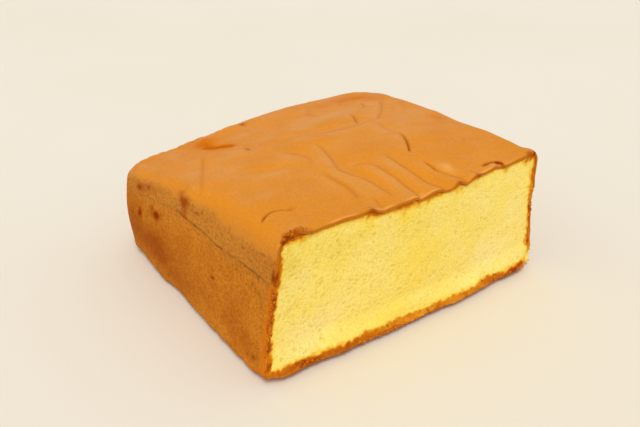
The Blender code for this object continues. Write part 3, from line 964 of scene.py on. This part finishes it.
# %% Hang the skin over the shoulders
drop = (HEIGHT - z) / SKIN_DROP
down = np.where(z < HEIGHT - 0.01, (HEIGHT - skin_edge(x, y)) * drop, 0.0)
inner_down = past(down - SKIN_THICKNESS, 0.0) * (z < HEIGHT - SKIN_THICKNESS - 0.1)
stretched = np.where(inside > 0.5, HEIGHT - SKIN_THICKNESS - inner_down, HEIGHT - down)
hung = np.stack([x, y, np.where(drop > 0.12, stretched, z)], -1)
scorch, brown, crack = wall_marks(hung)
shaped = cake_form(hung)
wrinkles = 0.12 * bumps(hung * (1.0, 0.4, 1.0), 1.8, 105.0) + 0.10 * bumps(hung, 1.6, 107.0)
outwards = (wall_waves(hung) + 0.10 + wrinkles) * step(z, HEIGHT - 6.0, HEIGHT - 12.0)
outwards += skin_lip(x, y) * step(drop, 0.6, 1.0) + inside * 0.7 * step(drop, 0.2, 0.7)
push_out(shaped, block, outwards, margin=3.0)

# %% Fold the top and fray its edge at the cut
raise_top(shaped, hung)
at_cut = step(from_cut, 3.5, 0.0)
edge_wave = 0.25 * flat_bumps(x, z, 3.0, 51.0) + 0.5 * flat_bumps(x, z, 9.0, 53.0)
shaped[:, 1] -= at_cut * (0.60 + 0.6 * edge_wave)
shaped[:, 2] -= at_cut ** 2 * (0.35 + 0.4 * edge_wave) * (z > HEIGHT - 2.0)
move_points(skin, lay_on_frame(shaped))

# %% Paint and finish the skin
dark, orange_and_shade, sheen_tan, rust, burnt_and_shade, pale = top_marks(x, y)
on_top = step(hung[:, 2], HEIGHT - 9.0, HEIGHT - 5.0)
border_wave = 2.0 * bumps(hung, 8.0, 57.0) + 1.4 * bumps(hung, 3.0, 59.0)
hang_start = HEIGHT - 7.5 + 7.5 * step(from_cut, 20.0, 120.0)
# a painted highlight along the skin's edge where it rolls over at the cut
rolled_highlight = (1.0 - inside) * np.exp(-((from_cut - 0.85) / 0.6) ** 2)
rolled_highlight *= np.clip(0.35 + 0.7 * flat_bumps(x, z, 9.0, 55.0), 0.0, 1.0)
paint(skin, "hang", step(hung[:, 2] - border_wave, hang_start, hang_start - 7.0))
# painted shade in the creases
paint(skin, "crease", on_top * dark)
# orange tone, and painted shade on the folds' low sides
paint(skin, "orange_and_shade", on_top * orange_and_shade + 0.35 * step(x, -0.75 * HALF_X, -HALF_X))
# painted sheen on the crests and pale patches of the top
paint(skin, "sheen_tan", on_top * sheen_tan)
paint(skin, "rust", on_top * rust)
# painted highlights on the blister and the edge at the cut
paint(skin, "pale", on_top * np.maximum(pale, rolled_highlight))
paint(skin, "brown", brown + 0.25 * bumps(hung, 21.0, 95.0))
# on the skin, scorch also brings painted shade in the slit and the hollows under the cut edge
paint(skin, "scorch", scorch + on_top * burnt_and_shade)
paint(skin, "crack", crack)
# the skin's brown cut edge, with painted shade on its underside at the cut
paint(skin, "lip", np.maximum(step(from_cut, 0.75, 0.15), inside * at_cut))
thin_out_inside(skin, ratio=0.10)
finish_piece(skin)

# %% [markdown]
# ## Crumbs on the border
# The knife pulls small lumps out of the crust as it passes. They sit along the left, the bottom
# and the right of the cut, and on the torn end of the skin. One rough lump is modelled from a
# small sphere, and each crumb is a copy of it, turned, sized and pressed flat on its own.

# %% Model one lump
start_clean()
bpy.ops.mesh.primitive_ico_sphere_add(subdivisions=2, radius=1.0)
border_crumbs = bpy.context.object
border_crumbs.name = border_crumbs.data.name = "border_crumbs"
lump = points_of(border_crumbs)
lump *= 1.0 + 0.28 * bumps(lump, 0.7, 109.0)[:, None]
print("one crumb:", len(border_crumbs.data.polygons), "faces")

# %% Where the lumps sit
# side, how many, how far in from the edge they reach
CRUMB_SIDES = (("left", 120, 3.4), ("low", 260, 7.2), ("right", 44, 2.2), ("torn", 40, 3.0))
SMALLEST_CRUMB, LARGEST_CRUMB = 0.26, 1.0    # radii


def crumb_place(rng, side, reach):
    """A random place on the block for a crumb of one side, and how dark it is."""
    inwards, along = reach * rng.uniform(0.05, 1.0) ** 1.3, rng.uniform()
    if side == "left":
        return (-HALF_X + inwards, -HALF_Y, 4.0 + 70.0 * along), rng.uniform(0.58, 0.95)
    if side == "low":
        return (-HALF_X + 3.0 + 188.0 * along, -HALF_Y, 0.6 + inwards), rng.uniform(0.52, 0.82)
    if side == "right":
        return (HALF_X - inwards, -HALF_Y, 17.0 + 58.0 * along), rng.uniform(0.5, 0.9)
    return (-HALF_X + 2.0 + 17.0 * along, -HALF_Y + inwards - 0.6, HEIGHT), rng.uniform(0.6, 0.95)


# %% Scatter the lumps
rng = np.random.default_rng(5)
places, darkness = [], []
for side, count, reach in CRUMB_SIDES:
    for _ in range(count):
        place, dark = crumb_place(rng, side, reach)
        size = min(SMALLEST_CRUMB + rng.exponential(0.2 if side == "left" else 0.16), LARGEST_CRUMB)
        turn = np.linalg.qr(rng.normal(size=(3, 3)))[0]
        shape = turn * (size * rng.uniform(0.6, 1.2, (3, 1)))
        middle = cake_form(np.array([place]))[0]
        if side == "torn":
            middle[2] += relief(*np.array(place[:2]).reshape(2, 1))[0]
        else:
            middle[1] += 0.35 * size - foot_bulge(place[0], place[2])
        places.append(lump @ shape + middle)
        darkness.append(np.full(len(lump), dark))

# %% Join them into one piece
mesh = bmesh.new()
for _ in places:
    mesh.from_mesh(border_crumbs.data)
mesh.to_mesh(border_crumbs.data)
mesh.free()
move_points(border_crumbs, lay_on_frame(np.concatenate(places)))
paint(border_crumbs, "toast", np.concatenate(darkness))
pick(border_crumbs)
bpy.ops.object.mode_set(mode="EDIT")
face_outwards()
finish_piece(border_crumbs, smooth_angle=80.0)

# %% [markdown]
# ## Colours
# Colours are easier to pick in the 0 to 255 values of a screen. A shader needs linear light, so a
# short function turns one into the other. All the browns are one family: the same sugar, baked
# for a longer or shorter time.

# %% Screen colour to linear
def tone(red, green, blue):
    """A colour as materials need it, from its values of 0 to 255 on a screen."""
    linear = [(value / 255) / 12.92 if value <= 10 else ((value / 255 + 0.055) / 1.055) ** 2.4
              for value in (red, green, blue)]
    return (*linear, 1.0)


SKIN_EVEN, SKIN_WARM = tone(215, 135, 34), tone(212, 130, 26)
# the orange is partly painted shade, and the tan is a painted sheen
SKIN_ORANGE_AND_SHADE, SKIN_SHEEN_TAN = tone(220, 135, 13), tone(215, 146, 68)
# the crease colour is painted shade, and the pale colour a painted highlight
SKIN_RUST, SKIN_CREASE_SHADE, SKIN_HIGHLIGHT = tone(198, 99, 0), tone(148, 74, 7), tone(234, 164, 80)
# the under colour is the skin's cut edge and painted shade beneath it
SKIN_CUT_EDGE_AND_SHADE, SKIN_SPECK = tone(194, 111, 9), tone(179, 103, 19)
WALL_BAND, WALL_EVEN, WALL_BROWN = tone(196, 124, 39), tone(206, 128, 34), tone(169, 84, 7)
WALL_SCORCH, WALL_CRACK, WALL_FRINGE = tone(144, 52, 0), tone(107, 50, 7), tone(218, 116, 12)
WALL_PORE = tone(162, 80, 9)
CRUMB_EVEN, CRUMB_RICH, CRUMB_PALE = tone(252, 226, 112), tone(252, 219, 78), tone(254, 231, 148)
# the pore colour is painted shade in the bubbles
CRUMB_PORE_SHADE = tone(224, 194, 72)
TOAST_STEPS = ((0.0, tone(249, 215, 93)), (0.2, tone(243, 197, 66)), (0.42, tone(229, 159, 36)),
               (0.68, tone(206, 115, 8)), (1.0, tone(148, 56, 2)))
TABLE_PALE, TABLE_WARM = tone(232, 224, 208), tone(229, 220, 201)

# %% [markdown]
# ## Nodes by hand, with fewer lines
# Materials are built from the same few nodes again and again: a blend of two colours, a product,
# a range stretched to another range, a painted value that brings in a tint. One helper for each
# keeps a material down to the lines that say what it looks like.

# %% Helpers for nodes
def add_node(tree, kind, **settings):
    node = tree.nodes.new(kind)
    for name, value in settings.items():
        setattr(node, name, value)
    return node


def feed(tree, source, socket):
    """Link an output to a socket, or set the socket to a plain value."""
    if isinstance(source, bpy.types.NodeSocket):
        tree.links.new(source, socket)
    else:
        socket.default_value = source


def blend(tree, share, low, high, way="MIX"):
    node = add_node(tree, "ShaderNodeMix", data_type="RGBA", blend_type=way)
    feed(tree, share, node.inputs[0])
    feed(tree, low, node.inputs[6])
    feed(tree, high, node.inputs[7])
    return node.outputs[2]


def stretch(tree, value, start, end, low=0.0, high=1.0):
    """Values from start to end become low to high, softly and without going past."""
    node = add_node(tree, "ShaderNodeMapRange", interpolation_type="SMOOTHSTEP")
    for name, source in (("Value", value), ("From Min", start), ("From Max", end),
                         ("To Min", low), ("To Max", high)):
        feed(tree, source, node.inputs[name])
    return node.outputs["Result"]


def calculate(tree, operation, first, second):
    node = add_node(tree, "ShaderNodeMath", operation=operation)
    feed(tree, first, node.inputs[0])
    feed(tree, second, node.inputs[1])
    return node.outputs[0]


def times(tree, value, factor):
    return calculate(tree, "MULTIPLY", value, factor)


def painted(tree, name):
    return add_node(tree, "ShaderNodeAttribute", attribute_name=name).outputs["Fac"]


def tinted(tree, colour, name, tint, strength=1.0):
    """Bring a tint in where the piece is painted with the value of that name."""
    return blend(tree, times(tree, painted(tree, name), strength), colour, tint)


def shaded(tree, colour, shade):
    """Make a colour darker or lighter by a grain's shade."""
    return blend(tree, 1.0, colour, shade, "MULTIPLY")


# %% [markdown]
# ## Effects shared by the materials
# Four effects come back in several finishes, so each is a node group with named inputs: soft
# patches of colour, a fine grain, open pores, and the browning of a wall, which both the crust and
# the hanging part of the skin show. They read the cake's own coordinates, so they stay in place
# when it is moved, and where the skin meets the crust they run on without a seam.

# %% Make a group and use it
NUMBER, COLOUR = "NodeSocketFloat", "NodeSocketColor"


def new_group(name, inputs, outputs):
    """A group with its inputs as (name, value) and its outputs as (name, kind)."""
    group = bpy.data.node_groups.new(name, "ShaderNodeTree")
    for label, value in inputs:
        socket = group.interface.new_socket(label, in_out="INPUT", socket_type=NUMBER)
        socket.default_value = value
    for label, kind in outputs:
        group.interface.new_socket(label, in_out="OUTPUT", socket_type=kind)
    return group, group.nodes.new("NodeGroupInput").outputs, group.nodes.new("NodeGroupOutput").inputs


def own_place(tree):
    """Where a point of the piece is, in metres of the cake's own axes."""
    return add_node(tree, "ShaderNodeTexCoord").outputs["Object"]


def use_group(tree, group, **values):
    """Place a group; an underscore in a value's name stands for a space in its input's name."""
    node = add_node(tree, "ShaderNodeGroup", node_tree=group)
    for name, value in values.items():
        feed(tree, value, node.inputs[name.replace("_", " ")])
    return node.outputs


# %% Soft patches
tree, given, wanted = new_group(
    "soft patches", [("Patch Size", 0.02), ("Softness", 0.2)], [("Share", NUMBER)])
soft_patches = tree
noise = add_node(tree, "ShaderNodeTexNoise")
noise.inputs["Detail"].default_value = 3.0
feed(tree, own_place(tree), noise.inputs["Vector"])
feed(tree, calculate(tree, "DIVIDE", 1.0, given["Patch Size"]), noise.inputs["Scale"])
low = calculate(tree, "SUBTRACT", 0.5, given["Softness"])
high = calculate(tree, "ADD", 0.5, given["Softness"])
feed(tree, stretch(tree, noise.outputs["Fac"], low, high), wanted["Share"])

# %% Fine grain
tree, given, wanted = new_group(
    "fine grain", [("Grain Size", 0.001), ("Flatness", 1.0), ("Darkest", 0.9)],
    [("Shade", NUMBER), ("Height", NUMBER)])
fine_grain = tree
squeeze = add_node(tree, "ShaderNodeCombineXYZ")
for axis in ("X", "Y"):
    squeeze.inputs[axis].default_value = 1.0
feed(tree, given["Flatness"], squeeze.inputs["Z"])
squeezed = add_node(tree, "ShaderNodeVectorMath", operation="MULTIPLY")
feed(tree, own_place(tree), squeezed.inputs[0])
feed(tree, squeeze.outputs[0], squeezed.inputs[1])
noise = add_node(tree, "ShaderNodeTexNoise")
noise.inputs["Detail"].default_value = 4.0
noise.inputs["Roughness"].default_value = 0.62
feed(tree, squeezed.outputs[0], noise.inputs["Vector"])
feed(tree, calculate(tree, "DIVIDE", 1.0, given["Grain Size"]), noise.inputs["Scale"])
brightest = calculate(tree, "SUBTRACT", 2.0, given["Darkest"])
shade = stretch(tree, noise.outputs["Fac"], 0.28, 0.72, given["Darkest"], brightest)
feed(tree, shade, wanted["Shade"])
feed(tree, noise.outputs["Fac"], wanted["Height"])

# %% Open pores
tree, given, wanted = new_group(
    "open pores", [("Pore Spacing", 0.002), ("Pore Width", 0.3)],
    [("Mask", NUMBER), ("Height", NUMBER)])
open_pores = tree
place = own_place(tree)
scale = calculate(tree, "DIVIDE", 1.0, given["Pore Spacing"])
shake = add_node(tree, "ShaderNodeTexNoise")
feed(tree, place, shake.inputs["Vector"])
feed(tree, times(tree, scale, 1.7), shake.inputs["Scale"])
cells = add_node(tree, "ShaderNodeTexVoronoi")
feed(tree, place, cells.inputs["Vector"])
feed(tree, scale, cells.inputs["Scale"])
distance = calculate(tree, "ADD", cells.outputs["Distance"], times(tree, shake.outputs["Fac"], 0.35))
narrow = times(tree, given["Pore Width"], 0.55)
mask = stretch(tree, distance, narrow, given["Pore Width"], 1.0, 0.0)
feed(tree, mask, wanted["Mask"])
feed(tree, calculate(tree, "SUBTRACT", 1.0, mask), wanted["Height"])

# %% The browning of a wall
tree, given, wanted = new_group(
    "wall browning", [("Band", 0.0), ("Brown", 0.0), ("Scorch", 0.0), ("Crack", 0.0)],
    [("Colour", COLOUR), ("Height", NUMBER)])
wall_browning = tree
share = use_group(tree, soft_patches, Patch_Size=0.011, Softness=0.25)["Share"]
colour = blend(tree, times(tree, share, 0.30), WALL_EVEN, WALL_BROWN)
colour = blend(tree, given["Band"], colour, WALL_BAND)
colour = blend(tree, given["Brown"], colour, WALL_BROWN)
pores = use_group(tree, open_pores, Pore_Spacing=0.0021, Pore_Width=0.46)
deeper = use_group(tree, soft_patches, Patch_Size=0.010, Softness=0.3)["Share"]
pore_share = times(tree, pores["Mask"], stretch(tree, deeper, 0.0, 1.0, 0.15, 0.80))
colour = blend(tree, pore_share, colour, WALL_PORE)
grain = use_group(tree, fine_grain, Grain_Size=0.0016, Flatness=1.1, Darkest=0.81)
colour = shaded(tree, colour, grain["Shade"])
dashes = use_group(tree, fine_grain, Grain_Size=0.0030, Flatness=2.4, Darkest=0.9)
dash = times(tree, stretch(tree, dashes["Height"], 0.57, 0.68, 0.0, 0.5), given["Band"])
colour = blend(tree, dash, colour, WALL_CRACK)
colour = blend(tree, given["Scorch"], colour, WALL_SCORCH)
colour = blend(tree, times(tree, given["Crack"], 0.85), colour, WALL_CRACK)
feed(tree, colour, wanted["Colour"])
height = calculate(tree, "ADD", grain["Height"], times(tree, pores["Height"], 0.5))
feed(tree, height, wanted["Height"])
print("groups:", [group.name for group in bpy.data.node_groups])


# %% [markdown]
# ## The finishes
# The crumb is matt and velvety, the crust is dry and grainy, and the skin is satin, because it is
# smooth and a little greasy. Each finish starts from its even colour. The painted values then
# bring in what was marked on the piece, and a fine relief of bumps finishes it.

# %% Start a material, and end it with a fine relief
def new_material(name, roughness, gloss):
    material = bpy.data.materials.new(name)
    material.use_nodes = True
    shader = material.node_tree.nodes["Principled BSDF"]
    shader.inputs["Roughness"].default_value = roughness
    shader.inputs["Specular IOR Level"].default_value = gloss
    return material, material.node_tree, shader.inputs


def add_relief(tree, height, depth, shader):
    """Fine bumps, depth in millimetres of the cake."""
    bump = add_node(tree, "ShaderNodeBump")
    bump.inputs["Strength"].default_value = 1.0
    bump.inputs["Distance"].default_value = depth * MM
    feed(tree, height, bump.inputs["Height"])
    feed(tree, bump.outputs["Normal"], shader["Normal"])


def toast_colour(tree, toast):
    """From pale crumb to the darkest crust; a new ramp has two stops, and the others are added."""
    ramp = add_node(tree, "ShaderNodeValToRGB")
    steps = ramp.color_ramp.elements
    for number, (position, colour) in enumerate(TOAST_STEPS):
        stop = steps[number] if number < 2 else steps.new(position)
        stop.position = position
        stop.color = colour
    feed(tree, toast, ramp.inputs["Fac"])
    return ramp.outputs["Color"]


# %% Yellow crumb
crumb_finish, tree, shader = new_material("velvety_crumb", roughness=0.85, gloss=0.12)
share = use_group(tree, soft_patches, Patch_Size=0.020, Softness=0.25)["Share"]
colour = blend(tree, times(tree, share, 0.35), CRUMB_EVEN, CRUMB_PALE)
colour = tinted(tree, colour, "rich", CRUMB_RICH)
colour = tinted(tree, colour, "pale", CRUMB_PALE)
small = use_group(tree, soft_patches, Patch_Size=0.0035, Softness=0.15)["Share"]
colour = blend(tree, times(tree, small, 0.22), colour, CRUMB_RICH)
# painted shade in the bubbles
colour = tinted(tree, colour, "pore", CRUMB_PORE_SHADE, 0.80)
toast = painted(tree, "toast")
colour = blend(tree, stretch(tree, toast, 0.02, 0.24), colour, toast_colour(tree, toast))
grain = use_group(tree, fine_grain, Grain_Size=0.0009, Flatness=1.0, Darkest=0.90)
feed(tree, shaded(tree, colour, grain["Shade"]), shader["Base Color"])
pores = use_group(tree, open_pores, Pore_Spacing=0.0011, Pore_Width=0.5)
height = calculate(tree, "ADD", grain["Height"], times(tree, pores["Height"], 0.6))
add_relief(tree, height, 0.12, shader)
crumb.data.materials.append(crumb_finish)

# %% Loose crumbs of the border
border_finish, tree, shader = new_material("toasted_crumbs", roughness=0.8, gloss=0.12)
grain = use_group(tree, fine_grain, Grain_Size=0.0006, Flatness=1.0, Darkest=0.82)
colour = shaded(tree, toast_colour(tree, painted(tree, "toast")), grain["Shade"])
feed(tree, colour, shader["Base Color"])
add_relief(tree, grain["Height"], 0.15, shader)
border_crumbs.data.materials.append(border_finish)

# %% Brown crust
crust_finish, tree, shader = new_material("grainy_crust", roughness=0.9, gloss=0.06)
wall = use_group(tree, wall_browning, Band=painted(tree, "band"), Brown=painted(tree, "brown"),
                 Scorch=painted(tree, "scorch"), Crack=painted(tree, "crack"))
colour = tinted(tree, wall["Colour"], "pit", WALL_PORE, 0.45)
colour = tinted(tree, colour, "fringe", WALL_FRINGE, 0.7)
feed(tree, colour, shader["Base Color"])
feed(tree, stretch(tree, painted(tree, "scorch"), 0.0, 1.0, 0.06, 0.0), shader["Specular IOR Level"])
add_relief(tree, wall["Height"], 0.38, shader)
crust.data.materials.append(crust_finish)

# %% Satin skin
skin_finish, tree, shader = new_material("satin_skin", roughness=0.5, gloss=0.12)
share = use_group(tree, soft_patches, Patch_Size=0.026, Softness=0.22)["Share"]
colour = blend(tree, share, SKIN_EVEN, SKIN_WARM)
# orange tone, and painted shade where the sheen doesn't fall
colour = tinted(tree, colour, "orange_and_shade", SKIN_ORANGE_AND_SHADE)
# painted sheen: the paler tan of the crests
colour = tinted(tree, colour, "sheen_tan", SKIN_SHEEN_TAN, 0.7)
grain = use_group(tree, fine_grain, Grain_Size=0.0014, Flatness=1.0, Darkest=0.93)
colour = shaded(tree, colour, grain["Shade"])
specks = use_group(tree, open_pores, Pore_Spacing=0.006, Pore_Width=0.20)
colour = blend(tree, times(tree, specks["Mask"], 0.35), colour, SKIN_SPECK)
# painted highlights
colour = tinted(tree, colour, "pale", SKIN_HIGHLIGHT)
colour = tinted(tree, colour, "rust", SKIN_RUST)
# painted shade in the creases
colour = tinted(tree, colour, "crease", SKIN_CREASE_SHADE)

# %% The skin where it hangs, and its sheen
hang = painted(tree, "hang")
wall = use_group(tree, wall_browning, Band=1.0, Brown=painted(tree, "brown"),
                 Scorch=painted(tree, "scorch"), Crack=painted(tree, "crack"))
colour = blend(tree, hang, colour, wall["Colour"])
# the skin's brown cut edge, and painted shade under it
colour = tinted(tree, colour, "lip", SKIN_CUT_EDGE_AND_SHADE)
# scorch also brings painted shade in the slit and the hollows at the cut
colour = tinted(tree, colour, "scorch", WALL_SCORCH)
feed(tree, colour, shader["Base Color"])
burnt_and_shade = calculate(tree, "MAXIMUM", painted(tree, "scorch"), painted(tree, "rust"))
burnt_and_shade = calculate(tree, "MAXIMUM", burnt_and_shade, painted(tree, "crease"))
feed(tree, stretch(tree, burnt_and_shade, 0.0, 1.0, 0.12, 0.0), shader["Specular IOR Level"])
worn = use_group(tree, soft_patches, Patch_Size=0.012, Softness=0.3)["Share"]
satin = stretch(tree, worn, 0.0, 1.0, 0.44, 0.58)
feed(tree, calculate(tree, "MAXIMUM", satin, times(tree, hang, 0.88)), shader["Roughness"])
wrinkles = use_group(tree, fine_grain, Grain_Size=0.0026, Flatness=1.0, Darkest=0.9)
height = calculate(tree, "ADD", wrinkles["Height"], times(tree, grain["Height"], 0.25))
height = calculate(tree, "ADD", height, times(tree, hang, wall["Height"]))
add_relief(tree, height, 0.22, shader)
skin.data.materials.append(skin_finish)
print("finishes:", [finish.name for finish in (crumb_finish, border_finish, crust_finish, skin_finish)])

# %% [markdown]
# ## The stage
# The cake stands on a plain pale table. One wide soft light hangs high at the front left, so that
# the shadow falls behind the cake, and an even pale surround fills the rest.

# %% Table
start_clean()
bpy.ops.mesh.primitive_plane_add(size=8.0, location=(0.0, 0.0, cad_low.z))
floor = bpy.context.object
floor.name = "floor"
table_finish, tree, shader = new_material("pale_table", roughness=0.7, gloss=0.1)
share = use_group(tree, soft_patches, Patch_Size=0.5, Softness=0.3)["Share"]
feed(tree, blend(tree, share, TABLE_PALE, TABLE_WARM), shader["Base Color"])
floor.data.materials.append(table_finish)


# %% Light and surround
def soft_light(name, place, power, spread, colour):
    """A wide far light that looks at the cake; spread is how large it seems, in degrees."""
    data = bpy.data.lights.new(name, "SUN")
    data.energy = power
    data.angle = math.radians(spread)
    data.color = colour
    light = bpy.data.objects.new(name, data)
    bpy.context.scene.collection.objects.link(light)
    light.location = place
    light.rotation_euler = (math.atan2(math.hypot(place[0], place[1]), place[2]), 0.0,
                            math.atan2(place[0], -place[1]))
    print(name, "shines with", power, "W per square metre")


soft_light("softbox", place=(-0.87, -1.15, 2.6), power=1.45, spread=26.0, colour=(1.0, 0.985, 0.955))
world = bpy.data.worlds.new("pale_surround")
world.use_nodes = True
surround = world.node_tree.nodes["Background"].inputs
surround["Color"].default_value = (0.985, 0.985, 1.0, 1.0)
surround["Strength"].default_value = 0.73
bpy.context.scene.world = world

# %% [markdown]
# ## The camera
# The camera looks down on the corner between the left wall and the cut, from a little less than
# half a metre away, near enough for the far edges to draw together.

# %% Camera
CAMERA_MM = np.array([[-228.4, -328.2, 241.1]])
LOOK_DOWN, TURN_RIGHT = math.radians(28.25), math.radians(34.8)
SENSOR_WIDTH, FOCAL_LENGTH = 36.0, 39.375
camera_data = bpy.data.cameras.new("camera")
camera_data.sensor_width, camera_data.lens = SENSOR_WIDTH, FOCAL_LENGTH
camera = bpy.data.objects.new("camera", camera_data)
camera.location = lay_on_frame(CAMERA_MM)[0]
camera.rotation_euler = (math.pi / 2 - LOOK_DOWN, 0.0, -TURN_RIGHT)
bpy.context.scene.collection.objects.link(camera)
bpy.context.scene.camera = camera
bpy.context.scene.view_settings.view_transform = "Standard"
print("the camera stands", round(float(np.linalg.norm(CAMERA_MM)) * MM, 2), "m from the cake")

# %% [markdown]
# ## Hand the pieces over
# All the pieces together stand for the one plain solid, and ride with its only body.

# %% Ride, replace and finish
for piece in (crumb, crust, skin, border_crumbs):
    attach(piece, "root")
    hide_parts("sponge_cake")
